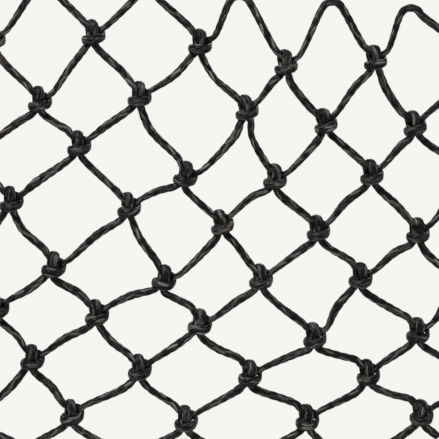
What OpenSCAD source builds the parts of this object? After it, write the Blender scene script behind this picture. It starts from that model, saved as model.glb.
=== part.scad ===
// Cargo climbing net: one hanging panel of knotted diamond netting, made of nine lengths of
// black braided cord. Each length zigzags between two rows of knots. In the upper row it
// forms the bights, and in the lower row it is the wrap of each sheet bend.
// X runs along the rows, Z is up and the front faces -Y. The origin is where the middle
// hanging loop rests on the rail or hook that carries the net.

/* [Cord] */
// Diameter of the braided cord where it runs free, in mm
cord_d = 12; // [9:0.5:14]
// Diameter that the cord pulls down to inside a tight knot, in mm
knot_cord_d = 7.4; // [6:0.1:8.5]

/* [Mesh] */
// Width of one mesh, from knot to knot along a row, in mm
mesh_w = 140; // [120:5:200]
// Drop from one row of knots to the next, in mm
row_drop = 73; // [70:1:110]
// Fall of the rows towards the right, in mm for each mm along
row_fall = 0.06; // [0:0.01:0.1]
// Drift of each row towards the left, in mm
row_drift = 10; // [0:1:15]

/* [Edges] */
// Radius of the hanging and foot loops, to the middle of the cord, in mm
loop_r = 16; // [12:1:25]
// Length of a cut end past its knot, in mm
tail_l = 24; // [15:1:40]

/* [Folds] */
// Gap between the two halves of a bar where it folds, in mm
fold_gap = 0.9; // [0.7:0.1:1]
// Length of the bevel that lets the halves of a bar bend, in mm
fold_bevel = 2.4; // [2:0.1:4]

/* [Hidden] */
cord_colour = [0.14, 0.13, 0.13];
sides = 8;
rows = 8;

// How each knot lies off the even mesh, row by row from the top and left to right:
// [mm to the right, mm up, degrees that it is turned anticlockwise].
lay = [
    [[5, -5, 0], [5, 10, 0], [15, 5, -5], [-5, -15, 0], [-20, 0, 5], [-20, 5, 0]],
    [[10, -15, 0], [10, 0, -5], [20, -10, 5], [-10, -20, 10], [-25, -15, 10]],
    [[5, -15, 0], [5, 0, 0], [15, -35, -15], [0, -30, -5], [-5, -15, 5], [-20, -5, 0]],
    [[-10, -10, 0], [15, -10, 0], [5, -25, 10], [0, -25, 5], [0, -20, 0]],
    [[-5, -20, 0], [-10, -25, -10], [5, -35, -15], [0, -25, 0], [0, -15, -5], [-10, -15, 0]],
    [[-10, -15, 0], [-10, -15, 0], [-5, -20, -10], [15, -30, 5], [20, -15, 0]],
    [[-20, -10, 0], [-20, -10, -5], [-10, -15, 0], [5, -15, -5], [30, -5, 5], [30, -5, 0]],
    [[-20, -15, -10], [-25, -10, 0], [-5, -10, 0], [25, 0, 0], [45, 15, 0]]
];
// How each hanging and foot loop lies off the even mesh: [mm to the right, mm up].
head_lay = [[-5, 0], [0, 0], [-10, 0], [-20, 0], [-50, 0]];
foot_lay = [[-10, 5], [-5, 0], [10, 0], [30, 5]];
// How far the two lower legs of each knot bow to the right at half their length, row by row:
// [left leg, right leg] in mm. A leg that meets its fold nearer one knot bows less there.
bow = [
    [[0, -4], [-1, 3], [7, -8], [-3, -6], [-4, -4], [4, 0]],
    [[-2, -2], [-1, -10], [9, -7], [4, 0], [-3, -4]],
    [[0, -4], [-3, 0], [-6, -3], [-8, -3], [-5, 2], [4, 0]],
    [[4, -8], [-6, -5], [4, 3], [-1, -4], [-7, -4]],
    [[0, -4], [4, 4], [-8, -1], [-2, -4], [-5, -4], [4, 0]],
    [[4, 3], [-5, -6], [2, -8], [-3, -5], [0, -4]],
    [[0, -4], [4, 4], [9, -6], [6, -6], [8, -9], [4, 0]]
];
// Where each fold lies between its two rows: [mm up from halfway, fall for each mm along].
fold_lay = [
    [-5, row_fall], [-10, row_fall], [-22, row_fall], [-15, row_fall],
    [-25, row_fall], [-18, row_fall], [-3, row_fall / 3]
];

// The route of the two strands of a sheet bend, in steps of one tight strand. A bight comes
// up from the lower left leg, over the top and down to the lower right leg. A wrap comes in
// from the upper left, passes through the bight, goes round its neck and leaves by its own
// first turn at the upper right.
bight_route = [
    [-1.15, 0.1, -1.95], [-0.55, 0.25, -1.1], [-0.7, 0.8, 0.2], [-0.75, 0.8, 1.2],
    [-0.2, -0.2, 1.75],
    [0.15, -1, 1.15], [0.2, -0.95, 0.1], [0.2, -0.25, -1.1], [0.5, 0, -1.95]
];
wrap_route = [
    [-1.8, -0.4, 2], [-1.25, -0.65, 1.4], [-0.4, -0.2, 0.7], [0.5, 0.9, 0.9],
    [1.35, 1.35, 0.5], [1.65, 0.4, -0.35], [1.1, -0.95, -0.85], [0.05, -1.5, -1.1],
    [-1.1, -1, -1.1], [-1.6, 0.25, -0.9], [-1.2, 1.4, -0.7], [-0.1, 1.5, -0.45],
    [0.6, 0.4, 0], [1.4, -0.15, 0.55], [2.2, -0.1, 1.05]
];
// A hot knife leaves a rim on a cut end: [mm back from the tip, radius as a share of cord_d].
cut_rim = [[4, 0.5], [1, 0.54], [0, 0.42]];
// Ways that the cut ends of the right side leave their knots, below and above the knot.
lower_tail = [1, 0, -0.8];
upper_tail = [1, 0, 0.55];
// Angles round a loop, from its left side over the top to its right side.
loop_angles = [160 : -35 : 20];
// One step of the routes above: strands a step apart clear each other, and a hanging net
// draws its knots out in height.
strand_step = knot_cord_d * 1.15;
knot_step = [strand_step, strand_step, strand_step * 1.12];

// The level of a row or a loop's top at x = 0, counted from the row of hanging loops.
first_drop = 69;
function row_level(k) = -first_drop - row_drop * k;
function row_knots(k) = len(lay[k]);
function column(k, i, count) = (i - (count - 1) / 2) * mesh_w - row_drift * k;
function lies(x, k, off) = [x + off[0], 0, row_level(k) - row_fall * x + off[1]];
function knot(k, i) = lies(column(k, i, row_knots(k)), k, lay[k][i]);
function turned(p, a) = [p.x * cos(a) - p.z * sin(a), p.y, p.x * sin(a) + p.z * cos(a)];
function scaled(p) = [p.x * knot_step.x, p.y * knot_step.y, p.z * knot_step.z];
function tied(route, k, i) = [for (p = route) knot(k, i) + turned(scaled(p), lay[k][i][2])];
function first(list) = list[0];
function last(list) = list[len(list) - 1];
function unit(v) = v / norm(v);
function leftward(v) = [-v.x, v.y, v.z];
function join(lists) = [for (l = lists) each l];

// The two legs that meet across fold k, as the places where they leave their knots. In an
// even row a knot's lower right neighbour has the same number, and in an odd row one more.
function is_long(k) = row_knots(k) > row_knots(k + 1);
function below_right(k, i) = is_long(k) ? i : i + 1;
function above_left(k, i) = row_knots(k) > row_knots(k - 1) ? i - 1 : i;
function fold_drop(p, k) =
    p.z - (row_level(k + 0.5) + fold_lay[k][0] - fold_lay[k][1] * p.x);
function crossing(p, q, k, b) =
    let(down = fold_drop(p, k), share = down / (down - fold_drop(q, k)), aside = 4 * b * share * (1 - share))
    [p.x + (q.x - p.x) * share + aside, 0, p.z + (q.z - p.z) * share - fold_lay[k][1] * aside];

// A half bar from a knot's exit p towards the exit q beyond fold k, with bow b at the fold:
// [place, radius]. It ends in a blunt tip.
tip_r = cord_d / 10;
function half_bar(p, q, k, b) = let(c = crossing(p, q, k, b), back = unit([p.x - c.x, 0, p.z - c.z]))
    [[c + back * fold_bevel, cord_d / 2], [c + back * fold_gap / 2, tip_r]];
// A cut end from a knot's exit p.
function cut_end(p, toward) = let(v = unit(toward))
    [for (r = cut_rim) [p + v * (tail_l - r[0]), cord_d * r[1]]];
function reversed(list) = [for (i = [len(list) - 1 : -1 : 0]) list[i]];

// A knot's strand with its radii: it swells to the free cord at both exits.
exit_r = (cord_d + knot_cord_d) / 4;
function thick(route) = [for (i = [0 : len(route) - 1])
    [route[i], i == 0 || i == len(route) - 1 ? exit_r : knot_cord_d / 2]];

function bight(k, i) = tied(bight_route, k, i);
function wrap(k, i) = tied(wrap_route, k, i);
function bight_left(k, i) = let(j = below_right(k, i) - 1, p = first(bight(k, i)))
    j < 0 ? cut_end(p, leftward(lower_tail))
          : half_bar(p, last(wrap(k + 1, j)), k, bow[k][i][0]);
function bight_right(k, i) = let(j = below_right(k, i), p = last(bight(k, i)))
    j >= row_knots(k + 1) ? cut_end(p, lower_tail)
                          : half_bar(p, first(wrap(k + 1, j)), k, bow[k][i][1]);
function wrap_left(k, i) = let(j = above_left(k, i), p = first(wrap(k, i)))
    j < 0 ? cut_end(p, leftward(upper_tail))
          : half_bar(p, last(bight(k - 1, j)), k - 1, bow[k - 1][j][1]);
function wrap_right(k, i) = let(j = above_left(k, i) + 1, p = last(wrap(k, i)))
    j >= row_knots(k - 1) ? cut_end(p, upper_tail)
                          : half_bar(p, first(bight(k - 1, j)), k - 1, bow[k - 1][j][0]);

// A loop over the top (up = 1) or under the foot (up = -1) of the net, left to right.
function loop(c, up) = [for (a = loop_angles)
    [[c.x + loop_r * cos(a), 0, c.z + up * loop_r * (sin(a) - 1)], cord_d / 2]];
function foot_loop(i) = loop(lies(column(rows, i, len(foot_lay)), rows, foot_lay[i]), -1);
// The loops fall with the rows, and the underside of the middle hanging loop is at the origin.
function head_loop(i) = let(x = column(-1, i, len(head_lay)), fall = row_fall * (x - row_drift))
    loop([x + head_lay[i][0], 0, cord_d / 2 - fall + head_lay[i][1]], 1);

// One strand of cord through a list of [place, radius], with flat ends.
module strand(path) {
    n = len(path);
    way = [for (i = [0 : n - 1]) unit(path[min(i + 1, n - 1)][0] - path[max(i - 1, 0)][0])];
    start = unit(cross(way[0], [0, 1, 0]));
    across = [for (i = 0, s = start; i < n;
        i = i + 1, s = i < n ? unit(s - (s * way[i]) * way[i]) : s) s];
    ring = [for (i = [0 : n - 1], j = [0 : sides - 1]) let(a = j * 360 / sides)
        path[i][0] + path[i][1] * (cos(a) * across[i] + sin(a) * cross(way[i], across[i]))];
    wall = [for (i = [0 : n - 2], j = [0 : sides - 1]) let(b = i * sides, c = (j + 1) % sides)
        [b + j, b + j + sides, b + c + sides, b + c]];
    near_end = [for (j = [0 : sides - 1]) j];
    far_end = [for (j = [sides - 1 : -1 : 0]) (n - 1) * sides + j];
    polyhedron(points = ring, faces = concat([near_end], wall, [far_end]));
}

// The knots' bights in row k with their legs, or one cord with its foot loops in the last row.
module bights(k) {
    color(cord_colour)
    if (k < rows - 1) {
        for (i = [0 : row_knots(k) - 1])
            strand(concat(reversed(bight_left(k, i)), thick(bight(k, i)), bight_right(k, i)));
    } else {
        foot = [for (i = [0 : row_knots(k) - 1])
            concat(thick(bight(k, i)), i < row_knots(k) - 1 ? foot_loop(i) : [])];
        strand(concat(
            reversed(cut_end(first(bight(k, 0)), leftward(lower_tail))),
            join(foot),
            cut_end(last(bight(k, row_knots(k) - 1)), lower_tail)
        ));
    }
}

// The wraps of row k with their legs, or one cord with its hanging loops in the first row.
module wraps(k) {
    color(cord_colour)
    if (k > 0) {
        for (i = [0 : row_knots(k) - 1])
            strand(concat(reversed(wrap_left(k, i)), thick(wrap(k, i)), wrap_right(k, i)));
    } else {
        head = [for (i = [0 : row_knots(k) - 1])
            concat(thick(wrap(k, i)), i < row_knots(k) - 1 ? head_loop(i) : [])];
        strand(concat(
            reversed(cut_end(first(wrap(k, 0)), leftward(upper_tail))),
            join(head),
            cut_end(last(wrap(k, row_knots(k) - 1)), upper_tail)
        ));
    }
}

wraps(0);  // row_1_wraps
bights(0);  // row_1_bights
wraps(1);  // row_2_wraps
bights(1);  // row_2_bights
wraps(2);  // row_3_wraps
bights(2);  // row_3_bights
wraps(3);  // row_4_wraps
bights(3);  // row_4_bights
wraps(4);  // row_5_wraps
bights(4);  // row_5_bights
wraps(5);  // row_6_wraps
bights(5);  // row_6_bights
wraps(6);  // row_7_wraps
bights(6);  // row_7_bights
wraps(7);  // row_8_wraps
bights(7);  // row_8_bights
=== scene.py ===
"""Cargo climbing net: nine lengths of black braided cord, tied into eight rows of sheet bends.

The axes are the frame's own: X along the rows, Z up, and the front faces -Y. The net's plan and
the cords' routes are in millimetres, and the braid, the finished pieces and the stage in metres.
The plan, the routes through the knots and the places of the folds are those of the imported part.
"""

import math

import bmesh
import bpy
import numpy as np
from bpy.props import FloatProperty, FloatVectorProperty, IntProperty, PointerProperty
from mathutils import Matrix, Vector


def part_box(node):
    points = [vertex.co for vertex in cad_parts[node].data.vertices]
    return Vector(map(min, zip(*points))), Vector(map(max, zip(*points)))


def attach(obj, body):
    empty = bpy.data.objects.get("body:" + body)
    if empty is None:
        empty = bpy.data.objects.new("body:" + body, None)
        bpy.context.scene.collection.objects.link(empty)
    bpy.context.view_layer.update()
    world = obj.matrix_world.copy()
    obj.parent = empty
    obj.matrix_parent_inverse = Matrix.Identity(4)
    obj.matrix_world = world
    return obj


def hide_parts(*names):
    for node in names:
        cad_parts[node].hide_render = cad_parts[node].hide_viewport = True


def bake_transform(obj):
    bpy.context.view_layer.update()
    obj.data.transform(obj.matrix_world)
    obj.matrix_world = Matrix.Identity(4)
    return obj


bl_info = {
    "name": "Cargo climbing net",
    "version": (1, 0, 0),
    "blender": (4, 5, 0),
    "location": "3D View > Sidebar > Climbing net",
    "description": "Builds a hanging panel of knotted diamond netting from nine braided cords",
    "category": "Add Mesh",
}

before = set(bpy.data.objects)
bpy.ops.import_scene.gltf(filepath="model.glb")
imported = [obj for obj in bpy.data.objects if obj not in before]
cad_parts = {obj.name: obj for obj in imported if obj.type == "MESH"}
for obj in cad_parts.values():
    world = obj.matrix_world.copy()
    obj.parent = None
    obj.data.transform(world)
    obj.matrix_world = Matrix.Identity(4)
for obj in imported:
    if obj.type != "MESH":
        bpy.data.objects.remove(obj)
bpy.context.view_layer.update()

MM = 0.001
FULL_TURN = 2 * math.pi

# ---------------------------------------------------------------------------------------------
# The net's plan, in mm. Rows are counted from 0 at the top and knots from 0 at the left.
# ---------------------------------------------------------------------------------------------

MESH_WIDTH = 140  # between neighbouring knots of a row
ROW_DROP = 73  # from each row to the next
FIRST_DROP = 69  # from the underside of the middle hanging loop to the top row
ROW_FALL = 0.06  # that a row falls for each mm to the right
ROW_DRIFT = 10  # that each row lies further left than the one above
CORD_RADIUS = 6
LOOP_RADIUS = 16  # of a loop's crown, at the middle of its cord
LOOP_ANGLES = range(160, 0, -35)  # degrees round a crown, from left to right
TAIL = 24  # of cord past a route's first and last knots
TIP_ROOM = 1  # of that, left for the melted bead
LAST_ROW = 7

# Each knot off the even mesh: mm to the right, mm up, degrees that it is turned anticlockwise.
KNOT_LAY = [
    [(5, -5, 0), (5, 10, 0), (15, 5, -5), (-5, -15, 0), (-20, 0, 5), (-20, 5, 0)],
    [(10, -15, 0), (10, 0, -5), (20, -10, 5), (-10, -20, 10), (-25, -15, 10)],
    [(5, -15, 0), (5, 0, 0), (15, -35, -15), (0, -30, -5), (-5, -15, 5), (-20, -5, 0)],
    [(-10, -10, 0), (15, -10, 0), (5, -25, 10), (0, -25, 5), (0, -20, 0)],
    [(-5, -20, 0), (-10, -25, -10), (5, -35, -15), (0, -25, 0), (0, -15, -5), (-10, -15, 0)],
    [(-10, -15, 0), (-10, -15, 0), (-5, -20, -10), (15, -30, 5), (20, -15, 0)],
    [(-20, -10, 0), (-20, -10, -5), (-10, -15, 0), (5, -15, -5), (30, -5, 5), (30, -5, 0)],
    [(-20, -15, -10), (-25, -10, 0), (-5, -10, 0), (25, 0, 0), (45, 15, 0)],
]
# Each hanging and foot loop off the even mesh: mm to the right, mm up.
HEAD_LAY = [(-5, 0), (0, 0), (-10, 0), (-20, 0), (-50, 0)]
FOOT_LAY = [(-10, 5), (-5, 0), (10, 0), (30, 5)]
# The folds between rows: mm up from halfway, fall for each mm along.
FOLD_LAY = [(-5, 0.06), (-10, 0.06), (-22, 0.06), (-15, 0.06), (-25, 0.06), (-18, 0.06), (-3, 0.02)]
# How far the left and right lower legs of each knot bow to the right at half their length.
LEG_BOW = [
    [(0, -4), (-1, 3), (7, -8), (-3, -6), (-4, -4), (4, 0)],
    [(-2, -2), (-1, -10), (9, -7), (4, 0), (-3, -4)],
    [(0, -4), (-3, 0), (-6, -3), (-8, -3), (-5, 2), (4, 0)],
    [(4, -8), (-6, -5), (4, 3), (-1, -4), (-7, -4)],
    [(0, -4), (4, 4), (-8, -1), (-2, -4), (-5, -4), (4, 0)],
    [(4, 3), (-5, -6), (2, -8), (-3, -5), (0, -4)],
    [(0, -4), (4, 4), (9, -6), (6, -6), (8, -9), (4, 0)],
]

# A sheet bend's two strands, in steps of one tight strand, and the way that the flattened cord
# faces at each step. The bight comes up from the lower left leg and goes down to the lower right
# one. The wrap comes in from the upper left, passes through the bight, goes round its neck and
# leaves at the upper right.
BIGHT_ROUTE = [
    (-1.15, 0.1, -1.95), (-0.55, 0.25, -1.1), (-0.7, 0.8, 0.2), (-0.75, 0.8, 1.2),
    (-0.2, -0.2, 1.75),
    (0.15, -1, 1.15), (0.2, -0.95, 0.1), (0.2, -0.25, -1.1), (0.5, 0, -1.95),
]
BIGHT_FACES = [
    (0.3, 1, 0), (0.2, 1, 0), (0, 1, 0), (0, 1, 0.5),
    (0, 0, 1),
    (0, -1, 0.5), (0, -1, 0), (0.2, -1, 0), (0.3, -1, 0),
]
WRAP_ROUTE = [
    (-1.8, -0.4, 2), (-1.25, -0.65, 1.4), (-0.4, -0.2, 0.7), (0.5, 0.9, 0.9),
    (1.35, 1.35, 0.5), (1.65, 0.4, -0.35), (1.1, -0.95, -0.85), (0.05, -1.5, -1.1),
    (-1.1, -1, -1.1), (-1.6, 0.25, -0.9), (-1.2, 1.4, -0.7), (-0.1, 1.5, -0.45),
    (0.6, 0.4, 0), (1.4, -0.15, 0.55), (2.2, -0.1, 1.05),
]
WRAP_FACES = [
    (0, 1, 0.3), (0.2, 1, 0.6), (0, 0.3, 1), (0.3, 0.6, 0.8),
    (0.8, 0.6, 0.2), (1, 0, 0), (0.6, -0.8, 0), (0, -1, 0),
    (-0.5, -0.9, 0), (-1, 0.1, 0), (-0.5, 0.9, 0), (0.2, 1, 0),
    (0.8, 0.6, 0), (0.2, 1, 0), (0, 1, 0.2),
]
# One step of these routes in mm: to the right, back and up.
KNOT_STEP = np.array((8.51, 8.51, 9.5312))
# What the cord is like at each step of a knot: share of its full thickness, and flatness.
BIGHT_SQUEEZE = [
    (0.76, 0.22), (0.72, 0.26), (0.74, 0.26), (0.75, 0.28),
    (0.80, 0.30),
    (0.86, 0.34), (0.86, 0.34), (0.76, 0.30), (0.76, 0.22),
]
WRAP_SQUEEZE = [
    (0.76, 0.22), (0.74, 0.26), (0.74, 0.26), (0.74, 0.26),
    (0.74, 0.26), (0.76, 0.28), (0.84, 0.34), (0.86, 0.38),
    (0.84, 0.36), (0.76, 0.30), (0.74, 0.26), (0.74, 0.26),
    (0.68, 0.24), (0.62, 0.22), (0.60, 0.20),
]
# The way that a cut end at the right leaves its knot: after a bight, and after a wrap.
LOWER_TAIL = (1, 0, -0.8)
UPPER_TAIL = (1, 0, 0.55)
TAIL_FACE = (0.1, 1, 0)

# What the cord is like where it runs free, halfway along a cut end, and at its tip.
FREE = (0.88, 0.17)
TAIL_MIDDLE = (0.97, 0.12)
TAIL_TIP = (0.93, 0.02)

# Between what limits chance sets a knot's grip and a leg's thickness and flatness, as shares of
# the usual, and how far a leg's flat side turns, in radians.
KNOT_GRIP = (0.94, 1.05)
LEG_SWELL = (0.95, 1.04)
LEG_FLATNESS = (0.6, 1.7)
LEG_TURN = (-1.2, 1.2)
HEAD_SEED = 11
MESH_SEED = 20
FOOT_SEED = 31

# The share of a slanting face that lies along each of its two ways.
DIAGONAL = 0.7

# How a route is smoothed: mm between the points of its curve before and after they are evened
# out, the fewest points between two places, and the mm and points over which the cord's shape eases.
FINE_STEP = 0.4
ROUTE_STEP = 1.5
FEWEST_POINTS = 4
EASE_WIDTH = 3.5
EASE_REACH = 6


def row_level(k):
    """Height of row k of the even mesh, where X is 0."""
    return -FIRST_DROP - ROW_DROP * k


def column(k, i, count):
    """Where knot i of the even mesh's row k stands along X, in a row of so many."""
    return (i - (count - 1) / 2) * MESH_WIDTH - ROW_DRIFT * k


def lies(x, k, lay):
    """A place in row k, off the even mesh by its lay."""
    return np.array((x + lay[0], 0.0, row_level(k) - ROW_FALL * x + lay[1]))


def knot(k, i):
    """The middle of knot i of row k."""
    return lies(column(k, i, len(KNOT_LAY[k])), k, KNOT_LAY[k][i])


def turned(p, k, i):
    """p turned with knot i of row k, anticlockwise as seen from the front."""
    a = math.radians(KNOT_LAY[k][i][2])
    x = p[0] * math.cos(a) - p[2] * math.sin(a)
    z = p[0] * math.sin(a) + p[2] * math.cos(a)
    return np.array((x, p[1], z))


def tied(route, k, i):
    """The places of a strand's route through knot i of row k."""
    return [knot(k, i) + turned(np.array(p) * KNOT_STEP, k, i) for p in route]


def crossing(upper, lower, k, bow):
    """Where the leg from an upper knot's exit to a lower one's meets fold k."""
    level, fall = row_level(k + 0.5) + FOLD_LAY[k][0], FOLD_LAY[k][1]
    a = upper[2] - level + fall * upper[0]
    b = lower[2] - level + fall * lower[0]
    share = a / (a - b)
    aside = 4 * bow * share * (1 - share)
    at = upper + (lower - upper) * share
    return np.array((at[0] + aside, 0.0, at[2] - fall * aside))


class Route:
    """The middle of one cord, gathered point by point from left to right, in mm."""

    def __init__(self, seed):
        self.places = []
        self.swell = []
        self.flat = []
        self.faces = []
        self.rng = np.random.default_rng(seed)

    def add(self, place, like, face):
        """Adds a place, where the cord's flat side faces that way or the opposite one."""
        face = np.array(face, float)
        face /= np.linalg.norm(face)
        if self.faces and face @ self.faces[-1] < 0:
            face = -face
        self.places.append(np.array(place, float))
        self.swell.append(like[0])
        self.flat.append(like[1])
        self.faces.append(face)

    def add_knot(self, route, k, i):
        """One strand's way through knot i of row k, gripped a little more or less by chance."""
        is_bight = route is BIGHT_ROUTE
        faces = BIGHT_FACES if is_bight else WRAP_FACES
        squeeze = BIGHT_SQUEEZE if is_bight else WRAP_SQUEEZE
        grip = self.rng.uniform(*KNOT_GRIP)
        for place, (swell, flat), face in zip(tied(route, k, i), squeeze, faces):
            self.add(place, (swell * grip, flat), turned(face, k, i))

    def add_leg(self, place):
        """The middle of a leg, where the flat cord has turned by chance."""
        swell = FREE[0] * self.rng.uniform(*LEG_SWELL)
        flat = FREE[1] * self.rng.uniform(*LEG_FLATNESS)
        turn = self.rng.uniform(*LEG_TURN)
        slant = math.sin(turn) * DIAGONAL
        self.add(place, (swell, flat), (slant, math.cos(turn), slant))

    def add_loop(self, crown, up):
        """A free loop over its crown, which is its top where up is 1 and its foot where it is -1."""
        for angle in LOOP_ANGLES:
            a = math.radians(angle)
            offset = (LOOP_RADIUS * math.cos(a), 0, up * LOOP_RADIUS * (math.sin(a) - 1))
            face = (DIAGONAL * math.cos(a), DIAGONAL, DIAGONAL * up * math.sin(a))
            self.add(crown + np.array(offset), FREE, face)

    def add_tail(self, exit_place, toward, reverse=False):
        """A cut end past a knot, tip first where the route starts with it."""
        way = np.array(toward, float)
        way /= np.linalg.norm(way)
        stops = [
            (exit_place + way * TAIL * 0.5, TAIL_MIDDLE),
            (exit_place + way * (TAIL - TIP_ROOM), TAIL_TIP),
        ]
        for place, like in reversed(stops) if reverse else stops:
            self.add(place, like, TAIL_FACE)


def leftward(way):
    """A way mirrored from right to left."""
    return (-way[0], way[1], way[2])


def head_route():
    """Wraps of the top row, with a hanging loop between each two knots."""
    r = Route(HEAD_SEED)
    count = len(KNOT_LAY[0])
    r.add_tail(tied(WRAP_ROUTE, 0, 0)[0], leftward(UPPER_TAIL), True)
    for i in range(count):
        r.add_knot(WRAP_ROUTE, 0, i)
        if i < count - 1:
            x = column(-1, i, len(HEAD_LAY))
            crown = CORD_RADIUS - ROW_FALL * (x - ROW_DRIFT) + HEAD_LAY[i][1]
            r.add_loop(np.array((x + HEAD_LAY[i][0], 0.0, crown)), 1)
    r.add_tail(tied(WRAP_ROUTE, 0, count - 1)[-1], UPPER_TAIL)
    return r


def mesh_route(k):
    """From row k's bights to row k+1's wraps and back, across fold k."""
    r = Route(MESH_SEED + k)
    upper, lower = len(KNOT_LAY[k]), len(KNOT_LAY[k + 1])

    def leg(i, side, j):
        top = tied(BIGHT_ROUTE, k, i)[-side]
        foot = tied(WRAP_ROUTE, k + 1, j)[side - 1]
        r.add_leg(crossing(top, foot, k, LEG_BOW[k][i][side]))

    if upper > lower:
        r.add_tail(tied(BIGHT_ROUTE, k, 0)[0], leftward(LOWER_TAIL), True)
    else:
        r.add_tail(tied(WRAP_ROUTE, k + 1, 0)[0], leftward(UPPER_TAIL), True)
        r.add_knot(WRAP_ROUTE, k + 1, 0)
        leg(0, 0, 0)
    shift = 0 if upper > lower else 1
    for i in range(upper):
        r.add_knot(BIGHT_ROUTE, k, i)
        if i + shift < lower:
            leg(i, 1, i + shift)
            r.add_knot(WRAP_ROUTE, k + 1, i + shift)
            if i + 1 < upper:
                leg(i + 1, 0, i + shift)
    if upper > lower:
        r.add_tail(tied(BIGHT_ROUTE, k, upper - 1)[-1], LOWER_TAIL)
    else:
        r.add_tail(tied(WRAP_ROUTE, k + 1, lower - 1)[-1], UPPER_TAIL)
    return r


def foot_route():
    """Bights of the bottom row, with a foot loop between each two knots."""
    r = Route(FOOT_SEED)
    count = len(KNOT_LAY[LAST_ROW])
    r.add_tail(tied(BIGHT_ROUTE, LAST_ROW, 0)[0], leftward(LOWER_TAIL), True)
    for i in range(count):
        r.add_knot(BIGHT_ROUTE, LAST_ROW, i)
        if i < count - 1:
            x = column(LAST_ROW + 1, i, len(FOOT_LAY))
            r.add_loop(lies(x, LAST_ROW + 1, FOOT_LAY[i]), -1)
    r.add_tail(tied(BIGHT_ROUTE, LAST_ROW, count - 1)[-1], LOWER_TAIL)
    return r


def between(first, last, start, end, u):
    """Where u is on the straight way from first, at start, to last, at end."""
    return (first * (end - u) + last * (u - start)) / (end - start)


def smoothed(route):
    """Even points, in mm, on a centripetal Catmull-Rom curve through the route.

    Returns their places, the cord's swell and flatness there, and where its flat side faces.
    """
    p = np.array(route.places)
    p = np.vstack((2 * p[0] - p[1], p, 2 * p[-1] - p[-2]))
    fine, where = [], []
    for n in range(1, len(p) - 2):
        four = p[n - 1:n + 3]
        spans = np.linalg.norm(np.diff(four, axis=0), axis=1)
        t = np.concatenate(((0,), np.cumsum(np.sqrt(spans))))
        count = max(FEWEST_POINTS, int(np.linalg.norm(four[2] - four[1]) / FINE_STEP))
        for u in np.linspace(t[1], t[2], count, endpoint=False):
            a = [between(four[m], four[m + 1], t[m], t[m + 1], u) for m in range(3)]
            b = [between(a[m], a[m + 1], t[m], t[m + 2], u) for m in range(2)]
            fine.append(between(b[0], b[1], t[1], t[2], u))
            where.append(n - 1 + (u - t[1]) / (t[2] - t[1]))
    fine.append(p[-2])
    where.append(len(p) - 3)
    fine, where = np.array(fine), np.array(where)
    run = np.concatenate(((0,), np.cumsum(np.linalg.norm(np.diff(fine, axis=0), axis=1))))
    at = np.linspace(0, run[-1], int(run[-1] / ROUTE_STEP) + 1)
    stops = np.arange(len(route.places))
    middle = np.stack([np.interp(at, run, fine[:, c]) for c in range(3)], 1)
    share = np.interp(at, run, where)
    offsets = np.arange(-EASE_REACH, EASE_REACH + 1)
    kernel = np.exp(-0.5 * (offsets * ROUTE_STEP / EASE_WIDTH) ** 2)
    kernel /= kernel.sum()

    def eased(values):
        """Values given at the route's places, eased in between for every point."""
        v = np.interp(share, stops, values)
        return np.convolve(np.pad(v, EASE_REACH, mode="edge"), kernel, mode="valid")

    faces = np.stack([eased([f[c] for f in route.faces]) for c in range(3)], 1)
    profile = np.stack((eased(route.swell), eased(route.flat), np.zeros(len(at))), 1)
    return middle, profile, faces


# ---------------------------------------------------------------------------------------------
# Geometry Nodes: a braid that follows a route
# ---------------------------------------------------------------------------------------------


class Tree:
    """Adds nodes to a node tree in one line each, laid out in rows."""

    NODES_IN_ROW = 30
    NODE_WIDTH = 200
    NODE_HEIGHT = 220

    def __init__(self, tree):
        self.tree = tree
        self.count = 0

    def node(self, kind, *values, **settings):
        """A new node with its settings, and its first inputs joined to or set to the values."""
        n = self.tree.nodes.new(kind)
        down, across = divmod(self.count, self.NODES_IN_ROW)
        n.location = (self.NODE_WIDTH * across, -self.NODE_HEIGHT * down)
        self.count += 1
        for key, value in settings.items():
            setattr(n, key, value)
        for place, value in enumerate(values):
            self.put(n.inputs[place], value)
        return n

    def put(self, socket, value):
        """Joins a socket to another node's output, or sets its own value."""
        if value is None:
            return
        if isinstance(value, bpy.types.NodeSocket):
            self.tree.links.new(value, socket)
        else:
            socket.default_value = value

    def math(self, operation, *values):
        return self.node("ShaderNodeMath", *values, operation=operation).outputs[0]

    def vector(self, operation, a, b=None):
        return self.node("ShaderNodeVectorMath", a, b, operation=operation).outputs[0]

    def dot(self, a, b):
        return self.node("ShaderNodeVectorMath", a, b, operation="DOT_PRODUCT").outputs["Value"]

    def scale(self, a, by):
        n = self.node("ShaderNodeVectorMath", a, operation="SCALE")
        self.put(n.inputs["Scale"], by)
        return n.outputs[0]


BRAID_NAME = "braid along a route"
BRAID_SIZES = {
    "Braid radius": 0.0046,
    "Strand width": 0.0046,
    "Strand thickness": 0.0018,
    "Crossing height": 0.0005,
    "Lead": 0.15,
    "Step": 0.0017,
}
STRANDS = 12
STRAND_SIDES = 6


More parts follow.
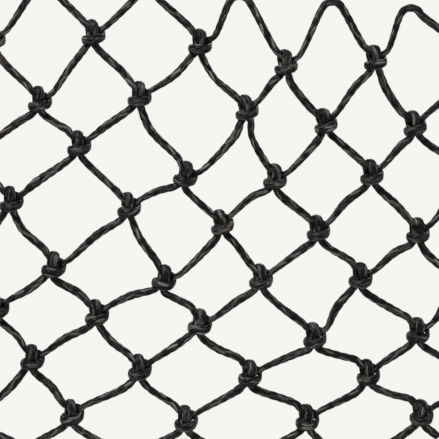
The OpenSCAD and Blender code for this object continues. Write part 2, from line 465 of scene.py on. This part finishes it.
def braid_tree():
    """Flat strands that cross over and under each other round a route.

    The route's points give the cord's swell, its flatness and the way that its flat side faces.
    """
    group = bpy.data.node_groups.new(BRAID_NAME, "GeometryNodeTree")
    face = group.interface
    face.new_socket("Geometry", in_out="INPUT", socket_type="NodeSocketGeometry")
    for name, value in BRAID_SIZES.items():
        socket = face.new_socket(name, in_out="INPUT", socket_type="NodeSocketFloat")
        socket.default_value = value
    strands = face.new_socket("Strands", in_out="INPUT", socket_type="NodeSocketInt")
    strands.default_value = STRANDS
    face.new_socket("Finish", in_out="INPUT", socket_type="NodeSocketMaterial")
    face.new_socket("Geometry", in_out="OUTPUT", socket_type="NodeSocketGeometry")

    t = Tree(group)
    given = t.node("NodeGroupInput").outputs
    radius, width, thick = given["Braid radius"], given["Strand width"], given["Strand thickness"]
    curve = t.node("GeometryNodeMeshToCurve", given["Geometry"]).outputs[0]
    length = t.node("GeometryNodeCurveLength", curve).outputs[0]

    blank = t.node("GeometryNodeMeshCylinder", fill_type="NGON")
    blank.inputs["Vertices"].default_value = STRAND_SIDES
    t.put(blank.inputs["Side Segments"], t.math("CEIL", t.math("DIVIDE", length, given["Step"])))
    blank.inputs["Radius"].default_value = 1.0
    blank.inputs["Depth"].default_value = 1.0
    points = t.node("GeometryNodePoints", given["Strands"]).outputs[0]
    copies = t.node("GeometryNodeInstanceOnPoints")
    t.put(copies.inputs["Points"], points)
    t.put(copies.inputs["Instance"], blank.outputs[0])
    index = t.node("GeometryNodeInputIndex").outputs[0]
    numbered = t.node("GeometryNodeStoreNamedAttribute", data_type="FLOAT", domain="INSTANCE")
    t.put(numbered.inputs["Geometry"], copies.outputs[0])
    numbered.inputs["Name"].default_value = "strand"
    t.put(numbered.inputs["Value"], index)
    laid = t.node("GeometryNodeRealizeInstances", numbered.outputs[0]).outputs[0]

    place = t.node("GeometryNodeInputPosition").outputs[0]
    strand = t.node("GeometryNodeInputNamedAttribute", "strand", data_type="FLOAT").outputs[0]
    xyz = t.node("ShaderNodeSeparateXYZ", place).outputs
    along = t.math("MULTIPLY", t.math("ADD", xyz[2], 0.5), length)
    odd = t.math("MODULO", strand, 2.0)
    way = t.math("SUBTRACT", 1.0, t.math("MULTIPLY", odd, 2.0))
    lane = t.math("FLOOR", t.math("DIVIDE", strand, 2.0))
    turns = t.math("DIVIDE", along, given["Lead"])
    lanes = t.math("DIVIDE", given["Strands"], 2.0)
    winds = t.math("MULTIPLY", t.math("MULTIPLY", turns, FULL_TURN), way)
    around = t.math("ADD", winds, t.math("DIVIDE", t.math("MULTIPLY", lane, FULL_TURN), lanes))
    beat = t.math("COSINE", t.math("MULTIPLY", t.math("MULTIPLY", turns, given["Strands"]), math.pi))
    rise = t.math("MULTIPLY", t.math("MULTIPLY", beat, way), given["Crossing height"])
    ride = t.math("ADD", radius, rise)

    girth = t.math("MULTIPLY", radius, FULL_TURN)
    slant = t.math("ARCTANGENT", t.math("DIVIDE", girth, given["Lead"]))
    aside = t.math("MULTIPLY", t.math("MULTIPLY", width, 0.5), xyz[0])
    back = t.math("MULTIPLY", t.math("MULTIPLY", aside, t.math("SINE", slant)), way)
    reach = t.math("MINIMUM", t.math("MAXIMUM", t.math("SUBTRACT", along, back), 0.0), length)
    out = t.math("ADD", ride, t.math("MULTIPLY", t.math("MULTIPLY", thick, 0.5), xyz[1]))
    swing = t.math("DIVIDE", t.math("MULTIPLY", aside, t.math("COSINE", slant)), radius)
    angle = t.math("ADD", around, swing)

    def sampled(attribute):
        """The curve, and an attribute of the route's points, at each point's reach along it."""
        value = t.node("GeometryNodeInputNamedAttribute", attribute, data_type="FLOAT_VECTOR")
        sample = t.node("GeometryNodeSampleCurve", mode="LENGTH", data_type="FLOAT_VECTOR")
        sample.use_all_curves = False
        t.put(sample.inputs["Curves"], curve)
        t.put(sample.inputs["Value"], value.outputs[0])
        t.put(sample.inputs["Length"], reach)
        return sample.outputs

    at = sampled("profile")
    middle, tangent, normal = at["Position"], at["Tangent"], at["Normal"]
    side = t.vector("CROSS_PRODUCT", tangent, normal)
    shape = t.node("ShaderNodeSeparateXYZ", at["Value"]).outputs
    swell, flat = shape[0], shape[1]
    face_way = sampled("face")["Value"]
    turn = t.math("ARCTAN2", t.dot(face_way, side), t.dot(face_way, normal))

    bare = t.math("SUBTRACT", angle, turn)
    size = t.math("MULTIPLY", out, swell)
    round_deep = t.math("MULTIPLY", size, t.math("COSINE", bare))
    round_wide = t.math("MULTIPLY", size, t.math("SINE", bare))
    deep = t.math("MULTIPLY", round_deep, t.math("SUBTRACT", 1.0, flat))
    wide = t.math("MULTIPLY", round_wide, t.math("ADD", 1.0, flat))
    c, s = t.math("COSINE", turn), t.math("SINE", turn)
    on_normal = t.math("SUBTRACT", t.math("MULTIPLY", deep, c), t.math("MULTIPLY", wide, s))
    on_side = t.math("ADD", t.math("MULTIPLY", deep, s), t.math("MULTIPLY", wide, c))
    offset = t.vector("ADD", t.scale(normal, on_normal), t.scale(side, on_side))
    moved = t.vector("ADD", middle, offset)

    # Where each point is on its own strand, for the fibres of the finish: along it in mm.
    along_mm = t.math("MULTIPLY", along, 1000.0)
    lay = t.node("ShaderNodeCombineXYZ", xyz[0], xyz[1], along_mm).outputs[0]
    known = t.node("GeometryNodeStoreNamedAttribute", data_type="FLOAT_VECTOR", domain="POINT")
    t.put(known.inputs["Geometry"], laid)
    known.inputs["Name"].default_value = "lay"
    t.put(known.inputs["Value"], lay)
    bent = t.node("GeometryNodeSetPosition")
    t.put(bent.inputs["Geometry"], known.outputs[0])
    t.put(bent.inputs["Position"], moved)
    smooth = t.node("GeometryNodeSetShadeSmooth", bent.outputs[0]).outputs[0]
    real = t.node("GeometryNodeRealizeInstances", smooth).outputs[0]
    painted = t.node("GeometryNodeSetMaterial", real)
    t.put(painted.inputs["Material"], given["Finish"])
    t.node("NodeGroupOutput", painted.outputs[0])
    return group


# A cord's melted tip: its radius as a share of the braid's, its depth as a share of its radius and
# how far its middle is set back, in metres. Then its unevenness: one long wave over it, by how much
# it turns across and deep, and a grain. Last, the points of the route that give the way it points.
TIP_SPREAD = 1.28
TIP_DEPTH = 0.55
TIP_SETBACK = 0.0012
TIP_WAVE = 0.07
TIP_WAVE_ACROSS = 5
TIP_WAVE_DEEP = 9
TIP_GRAIN = 0.02
TIP_POINTS = 6
TIP_SEED = 7
# A braid with fewer faces than this has gone wrong.
FEWEST_FACES = 1000


def input_of(modifier, name):
    """The identifier of a modifier's input, by its name."""
    for item in modifier.node_group.interface.items_tree:
        if item.in_out == "INPUT" and item.name == name:
            return item.identifier
    raise RuntimeError(f"the braid has no input named {name}")


def braided(name, route, finish, sizes):
    """One cord as a plain mesh object: its braid along the route and a melted tip at each end."""
    middle, profile, faces = smoothed(route)
    mesh = bpy.data.meshes.new(name + " route")
    mesh.from_pydata((middle * MM).tolist(), [(n, n + 1) for n in range(len(middle) - 1)], [])
    for key, values in (("profile", profile), ("face", faces)):
        attribute = mesh.attributes.new(key, "FLOAT_VECTOR", "POINT")
        attribute.data.foreach_set("vector", values.astype(np.float32).ravel())
    guide = bpy.data.objects.new(name + " route", mesh)
    bpy.context.scene.collection.objects.link(guide)
    modifier = guide.modifiers.new("braid", "NODES")
    modifier.node_group = bpy.data.node_groups.get(BRAID_NAME) or braid_tree()
    for key, value in sizes.items():
        modifier[input_of(modifier, key)] = value
    modifier[input_of(modifier, "Finish")] = finish
    bpy.context.view_layer.update()
    evaluated = guide.evaluated_get(bpy.context.evaluated_depsgraph_get())
    body = bpy.data.meshes.new_from_object(evaluated)
    guide.modifiers.remove(modifier)
    bpy.data.objects.remove(guide)
    bpy.data.meshes.remove(mesh)
    if len(body.polygons) < FEWEST_FACES:
        raise RuntimeError(f"the braid of {name} has only {len(body.polygons)} faces")
    body.name = name
    cord = bpy.data.objects.new(name, body)
    bpy.context.scene.collection.objects.link(cord)
    add_tips(cord, middle, profile[:, 0] * sizes["Braid radius"] * TIP_SPREAD)
    return cord


def add_tips(cord, middle, radii):
    """Closes both ends of a cord with the bead that a hot knife leaves."""
    rng = np.random.default_rng(TIP_SEED)
    work = bmesh.new()
    work.from_mesh(cord.data)
    melt = work.verts.layers.float.get("melt") or work.verts.layers.float.new("melt")
    finish_slot = cord.data.polygons[0].material_index
    for end, inner in ((0, TIP_POINTS), (-1, -1 - TIP_POINTS)):
        tip, behind = Vector(middle[end] * MM), Vector(middle[inner] * MM)
        out = (tip - behind).normalized()
        turn = Vector((0, 0, 1)).rotation_difference(out)
        made = bmesh.ops.create_icosphere(work, subdivisions=3, radius=1.0)
        for v in made["verts"]:
            wave = TIP_WAVE * math.sin(TIP_WAVE_ACROSS * v.co.x + TIP_WAVE_DEEP * v.co.y)
            dent = 1 + wave + rng.uniform(-TIP_GRAIN, TIP_GRAIN)
            r = float(radii[end]) * dent
            at = Vector((v.co.x * r, v.co.y * r, v.co.z * r * TIP_DEPTH - TIP_SETBACK))
            v.co = tip + turn @ at
            v[melt] = 1.0
        for f in {f for v in made["verts"] for f in v.link_faces}:
            f.smooth = True
            f.material_index = finish_slot
    work.to_mesh(cord.data)
    work.free()


# ---------------------------------------------------------------------------------------------
# Finish
# ---------------------------------------------------------------------------------------------


FINISH_NAME = "black braided cord"
# The fibres of a strand: waves across it, waves for each mm along it, and detail.
YARN = (3.6, 0.06, 2.0)
HAIR = (9.0, 0.25, 3.0)
PATCH = (0.5, 0.012, 1.0)
# How far apart two strands lie in the noise, so that no two have the same fibres.
STRAND_SHIFT = 7.31
NOISE_ROUGHNESS = 0.6
# What the relief is made of, and what the shade is: shares of the fibres and of a strand's own tone.
YARN_RELIEF = 0.65
HAIR_RELIEF = 0.35
YARN_SHADE = 0.5
PATCH_SHADE = 0.3
TONE_SHADE = 0.2
RELIEF_DEPTH = 0.0006
# The shade up to which a fibre is dark, and from which it takes the pale colour of its painted sheen
# streaks.
DARK_UP_TO = 0.53
SHEEN_STREAK_FROM = 0.72
# How much smoother and rougher than the usual single hairs are, and how much smoother a melted tip.
SMOOTHER = 0.08
ROUGHER = 0.12
MELT_SMOOTHER = 0.12
FIBRE_IOR = 1.3


def cord_finish(look):
    """Black multifilament braid: fibres along each strand, strands that differ in tone, paler streaks
    along the fibres that are painted sheen, smooth tips.
    """
    m = bpy.data.materials.new(FINISH_NAME)
    m.use_nodes = True
    m.node_tree.nodes.clear()
    t = Tree(m.node_tree)
    lay = t.node("ShaderNodeAttribute", attribute_name="lay").outputs["Vector"]
    strand = t.node("ShaderNodeAttribute", attribute_name="strand").outputs["Fac"]
    melt = t.node("ShaderNodeAttribute", attribute_name="melt").outputs["Fac"]

    def fibres(across, along, detail):
        """Noise drawn out along each strand."""
        way = t.vector("MULTIPLY", lay, (across, across, along))
        n = t.node("ShaderNodeTexNoise", noise_dimensions="4D")
        t.put(n.inputs["Vector"], way)
        t.put(n.inputs["W"], t.math("MULTIPLY", strand, STRAND_SHIFT))
        n.inputs["Scale"].default_value = 1.0
        n.inputs["Detail"].default_value = detail
        n.inputs["Roughness"].default_value = NOISE_ROUGHNESS
        return n.outputs["Fac"]

    yarn = fibres(*YARN)
    hair = fibres(*HAIR)
    patch = fibres(*PATCH)
    tone = t.node("ShaderNodeTexWhiteNoise", noise_dimensions="1D")
    t.put(tone.inputs["W"], strand)

    yarn_height = t.math("MULTIPLY", yarn, YARN_RELIEF)
    height = t.math("ADD", yarn_height, t.math("MULTIPLY", hair, HAIR_RELIEF))
    bump = t.node("ShaderNodeBump")
    bump.inputs["Strength"].default_value = look.fibre_relief
    bump.inputs["Distance"].default_value = RELIEF_DEPTH
    t.put(bump.inputs["Height"], height)

    yarn_shade = t.math("MULTIPLY", yarn, YARN_SHADE)
    shade = t.math("ADD", yarn_shade, t.math("MULTIPLY", patch, PATCH_SHADE))
    shade = t.math("ADD", shade, t.math("MULTIPLY", tone.outputs["Value"], TONE_SHADE))
    # The ramp's pale end is painted sheen: highlight streaks along the fibres painted into the colour.
    ramp = t.node("ShaderNodeValToRGB", shade)
    dark, pale = (tuple(c) + (1.0,) for c in (look.cord_colour, look.sheen_streak_colour))
    ramp.color_ramp.elements[0].position = DARK_UP_TO
    ramp.color_ramp.elements[0].color = dark
    ramp.color_ramp.elements[1].position = SHEEN_STREAK_FROM
    ramp.color_ramp.elements[1].color = pale
    rough = t.node("ShaderNodeMapRange", hair)
    rough.inputs["To Min"].default_value = look.roughness - SMOOTHER
    rough.inputs["To Max"].default_value = look.roughness + ROUGHER
    glaze = t.math("SUBTRACT", rough.outputs[0], t.math("MULTIPLY", melt, MELT_SMOOTHER))

    skin = t.node("ShaderNodeBsdfPrincipled")
    t.put(skin.inputs["Base Color"], ramp.outputs[0])
    t.put(skin.inputs["Roughness"], glaze)
    t.put(skin.inputs["Normal"], bump.outputs[0])
    skin.inputs["Specular IOR Level"].default_value = look.gloss
    skin.inputs["IOR"].default_value = FIBRE_IOR
    t.node("ShaderNodeOutputMaterial", skin.outputs[0])
    return m


def plain_finish(name, colour, roughness):
    """One even colour, for the floor."""
    m = bpy.data.materials.new(name)
    m.use_nodes = True
    skin = m.node_tree.nodes["Principled BSDF"]
    skin.inputs["Base Color"].default_value = (*colour, 1.0)
    skin.inputs["Roughness"].default_value = roughness
    return m


# ---------------------------------------------------------------------------------------------
# Settings
# ---------------------------------------------------------------------------------------------


# How far a cord's box may be off the box of its CAD nodes.
PLACE_TOLERANCE = 0.006

# The middle of the view, how far the floor reaches to the sides and the front and to the back, and
# the lamps: name, place and share of the key lamp's power.
VIEW_MIDDLE = (-0.028, 0.0, -0.307)
SENSOR_WIDTH = 36.0
FLOOR_REACH = 14.0
FLOOR_BACK = 3.4
FLOOR_ROUGHNESS = 0.8
LAMP_SIZE = 0.9
LAMPS = (
    ("key lamp", (-1.1, -1.5, 1.5), 1.0),
    ("side lamp", (1.9, -1.2, 0.3), 0.2),
    ("back lamp", (0.6, 2.0, 1.2), 0.1),
)
# The surroundings turn from the backdrop's colour to the ceiling's between these two heights, where
# 0 is level with the net and 1 is straight up.
BACKDROP_TOP = 0.22
CEILING_EDGE = 0.45
CEILING_COLOUR = (0.80, 0.80, 0.78, 1.0)


class NetCordSettings(bpy.types.PropertyGroup):
    """Sizes of the braid."""

    braid_radius: FloatProperty(
        name="Braid radius",
        description="From the middle of a round cord to the middle of its strands, before it is squeezed",
        default=BRAID_SIZES["Braid radius"], min=0.002, max=0.008, unit="LENGTH", precision=5)
    strand_width: FloatProperty(
        name="Strand width", description="Width of one flat strand of the braid",
        default=BRAID_SIZES["Strand width"], min=0.001, max=0.01, unit="LENGTH", precision=5)
    strand_thickness: FloatProperty(
        name="Strand thickness", description="Thickness of one flat strand of the braid",
        default=BRAID_SIZES["Strand thickness"], min=0.0005, max=0.004, unit="LENGTH", precision=5)
    crossing_height: FloatProperty(
        name="Crossing height", description="How far a strand rises over the one that it crosses",
        default=BRAID_SIZES["Crossing height"], min=0.0, max=0.002, unit="LENGTH", precision=5)
    lead: FloatProperty(
        name="Lead", description="Length of cord in which a strand goes once round it",
        default=BRAID_SIZES["Lead"], min=0.03, max=0.3, unit="LENGTH")
    step: FloatProperty(
        name="Step", description="Length of one face along a strand",
        default=BRAID_SIZES["Step"], min=0.001, max=0.01, unit="LENGTH", precision=5)
    strands: IntProperty(
        name="Strands", description="Number of strands in the braid, half of them wound each way",
        default=STRANDS, min=4, max=32)


class NetLookSettings(bpy.types.PropertyGroup):
    """Colours and finish of the cord."""

    cord_colour: FloatVectorProperty(
        name="Cord colour", description="Colour of the black filaments",
        default=(0.0015, 0.0014, 0.0014), min=0, max=1, size=3, subtype="COLOR")
    # Painted sheen: the colour of pale highlight streaks painted along the filaments.
    sheen_streak_colour: FloatVectorProperty(
        name="Painted sheen colour", description="Colour of the paler streaks along the filaments, which are painted sheen",
        default=(0.085, 0.080, 0.075), min=0, max=1, size=3, subtype="COLOR")
    roughness: FloatProperty(
        name="Roughness", description="Roughness of the filaments",
        default=0.34, min=0.1, max=1, subtype="FACTOR")
    gloss: FloatProperty(
        name="Gloss", description="Strength of the filaments' shine",
        default=0.1, min=0, max=1, subtype="FACTOR")
    fibre_relief: FloatProperty(
        name="Fibre relief", description="Strength of the fibres' relief on a strand",
        default=0.7, min=0, max=1, subtype="FACTOR")


class NetStageSettings(bpy.types.PropertyGroup):
    """Floor, light and camera."""

    floor_level: FloatProperty(
        name="Floor level", description="Height of the floor under the hanging net",
        default=-1.4, unit="LENGTH")
    floor_colour: FloatVectorProperty(
        name="Floor colour", description="Colour of the plain floor",
        default=(0.93, 0.93, 0.9), min=0, max=1, size=3, subtype="COLOR")
    backdrop: FloatVectorProperty(
        name="Backdrop", description="Colour of the surroundings below the ceiling",
        default=(0.91, 0.91, 0.885), min=0, max=1, size=3, subtype="COLOR")
    lamp_power: FloatProperty(
        name="Lamp power", description="Power of the key lamp",
        default=210.0, min=0, unit="POWER")
    camera_distance: FloatProperty(
        name="Camera distance", description="From the camera to the net",
        default=1.707, min=0.3, unit="LENGTH")
    lens: FloatProperty(name="Lens", description="Focal length", default=100.0, min=20, unit="CAMERA")


def sizes_of(cord):
    """The settings under the names of the braid's inputs."""
    return {
        "Braid radius": cord.braid_radius,
        "Strand width": cord.strand_width,
        "Strand thickness": cord.strand_thickness,
        "Crossing height": cord.crossing_height,
        "Lead": cord.lead,
        "Step": cord.step,
        "Strands": cord.strands,
    }


def finish_for(context):
    """The cords' one finish, made the first time it is asked for."""
    return bpy.data.materials.get(FINISH_NAME) or cord_finish(context.scene.net_look)


def stands_where(cord, nodes):
    """Raises if a cord has left the place that its CAD nodes hold for it."""
    low = np.min([np.array(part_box(n)[0]) for n in nodes], axis=0)
    high = np.max([np.array(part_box(n)[1]) for n in nodes], axis=0)
    co = np.empty(len(cord.data.vertices) * 3, np.float32)
    cord.data.vertices.foreach_get("co", co)
    co = co.reshape(-1, 3)
    off = max(np.abs(co.min(0) - low).max(), np.abs(co.max(0) - high).max())
    if off > PLACE_TOLERANCE:
        raise RuntimeError(f"{cord.name} stands {off / MM:.1f} mm off its place")


# ---------------------------------------------------------------------------------------------
# Operators
# ---------------------------------------------------------------------------------------------


class NET_OT_head_cord(bpy.types.Operator):
    """Braids the head cord: the wraps of the top row and the five hanging loops."""

    bl_idname = "net.head_cord"
    bl_label = "Head cord"

    def execute(self, context):
        sizes = sizes_of(context.scene.net_cord)
        cord = braided("head_cord", head_route(), finish_for(context), sizes)
        stands_where(cord, ["row_1_wraps"])
        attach(cord, "row_1")
        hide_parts("row_1_wraps")
        return {"FINISHED"}


class NET_OT_mesh_cords(bpy.types.Operator):
    """Braids the seven mesh cords, each running between two rows, its legs passing where the net folds
    between them.
    """

    bl_idname = "net.mesh_cords"
    bl_label = "Mesh cords"

    def execute(self, context):
        sizes = sizes_of(context.scene.net_cord)
        for k in range(LAST_ROW):
            cord = braided(f"mesh_cord_{k + 1}", mesh_route(k), finish_for(context), sizes)
            nodes = [f"row_{k + 1}_bights", f"row_{k + 2}_wraps"]
            stands_where(cord, nodes)
            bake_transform(cord)
            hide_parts(*nodes)
        return {"FINISHED"}


class NET_OT_foot_cord(bpy.types.Operator):
    """Braids the foot cord: the bights of the bottom row and the four loops below them."""

    bl_idname = "net.foot_cord"
    bl_label = "Foot cord"

    def execute(self, context):
        sizes = sizes_of(context.scene.net_cord)
        cord = braided("foot_cord", foot_route(), finish_for(context), sizes)
        stands_where(cord, ["row_8_bights"])
        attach(cord, "row_8")
        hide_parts("row_8_bights")
        return {"FINISHED"}


class NET_OT_stage(bpy.types.Operator):
    """Sets the plain floor, the soft light and the camera square on to the front."""

    bl_idname = "net.stage"
    bl_label = "Stage"

    def execute(self, context):
        stage = context.scene.net_stage
        ends = ((-1, -FLOOR_REACH), (1, -FLOOR_REACH), (1, FLOOR_BACK), (-1, FLOOR_BACK))
        corners = [(side * FLOOR_REACH, y, stage.floor_level) for side, y in ends]
        mesh = bpy.data.meshes.new("floor")
        mesh.from_pydata(corners, [], [(0, 1, 2, 3)])
        mesh.materials.append(plain_finish("plain floor", stage.floor_colour, FLOOR_ROUGHNESS))
        floor = bpy.data.objects.new("floor", mesh)
        context.scene.collection.objects.link(floor)
        self.set_surroundings(context.scene, stage.backdrop)
        middle = Vector(VIEW_MIDDLE)
        for name, place, share in LAMPS:
            data = bpy.data.lights.new(name, "AREA")
            data.size = LAMP_SIZE
            data.energy = stage.lamp_power * share
            lamp = bpy.data.objects.new(name, data)
            lamp.location = place
            lamp.rotation_euler = (middle - Vector(place)).to_track_quat("-Z", "Y").to_euler()
            context.scene.collection.objects.link(lamp)
        data = bpy.data.cameras.new("front camera")
        data.type = "PERSP"
        data.lens = stage.lens
        data.sensor_width = SENSOR_WIDTH
        camera = bpy.data.objects.new("front camera", data)
        camera.location = middle + Vector((0, -stage.camera_distance, 0))
        camera.rotation_euler = (math.radians(90), 0, 0)
        context.scene.collection.objects.link(camera)
        context.scene.camera = camera
        context.scene.view_settings.view_transform = "Standard"
        return {"FINISHED"}

    @staticmethod
    def set_surroundings(scene, colour):
        """Pale surroundings, and a slightly dimmer ceiling."""
        scene.world = bpy.data.worlds.new("studio")
        scene.world.use_nodes = True
        scene.world.node_tree.nodes.clear()
        t = Tree(scene.world.node_tree)
        toward = t.node("ShaderNodeTexCoord").outputs["Generated"]
        height = t.node("ShaderNodeSeparateXYZ", toward).outputs[2]
        ramp = t.node("ShaderNodeValToRGB", height)
        ramp.color_ramp.elements[0].position = BACKDROP_TOP
        ramp.color_ramp.elements[0].color = (*colour, 1.0)
        ramp.color_ramp.elements[1].position = CEILING_EDGE
        ramp.color_ramp.elements[1].color = CEILING_COLOUR
        glow = t.node("ShaderNodeBackground", ramp.outputs[0])
        t.node("ShaderNodeOutputWorld", glow.outputs[0])


class NET_PT_panel(bpy.types.Panel):
    """Lists the net's pieces and sizes."""

    bl_idname = "NET_PT_panel"
    bl_label = "Climbing net"
    bl_space_type = "VIEW_3D"
    bl_region_type = "UI"
    bl_category = "Climbing net"

    def draw(self, context):
        for settings in (context.scene.net_cord, context.scene.net_look, context.scene.net_stage):
            box = self.layout.box()
            for key in settings.__annotations__:
                box.prop(settings, key)
        for operator in OPERATORS:
            self.layout.operator(operator.bl_idname)


OPERATORS = (NET_OT_head_cord, NET_OT_mesh_cords, NET_OT_foot_cord, NET_OT_stage)
GROUPS = (NetCordSettings, NetLookSettings, NetStageSettings)


def register():
    for c in GROUPS + OPERATORS + (NET_PT_panel,):
        bpy.utils.register_class(c)
    bpy.types.Scene.net_cord = PointerProperty(type=NetCordSettings)
    bpy.types.Scene.net_look = PointerProperty(type=NetLookSettings)
    bpy.types.Scene.net_stage = PointerProperty(type=NetStageSettings)


def unregister():
    del bpy.types.Scene.net_cord, bpy.types.Scene.net_look, bpy.types.Scene.net_stage
    for c in reversed(GROUPS + OPERATORS + (NET_PT_panel,)):
        bpy.utils.unregister_class(c)


def main():
    register()
    bpy.ops.net.head_cord()
    bpy.ops.net.mesh_cords()
    bpy.ops.net.foot_cord()
    bpy.ops.net.stage()


if __name__ == "__main__":
    main()
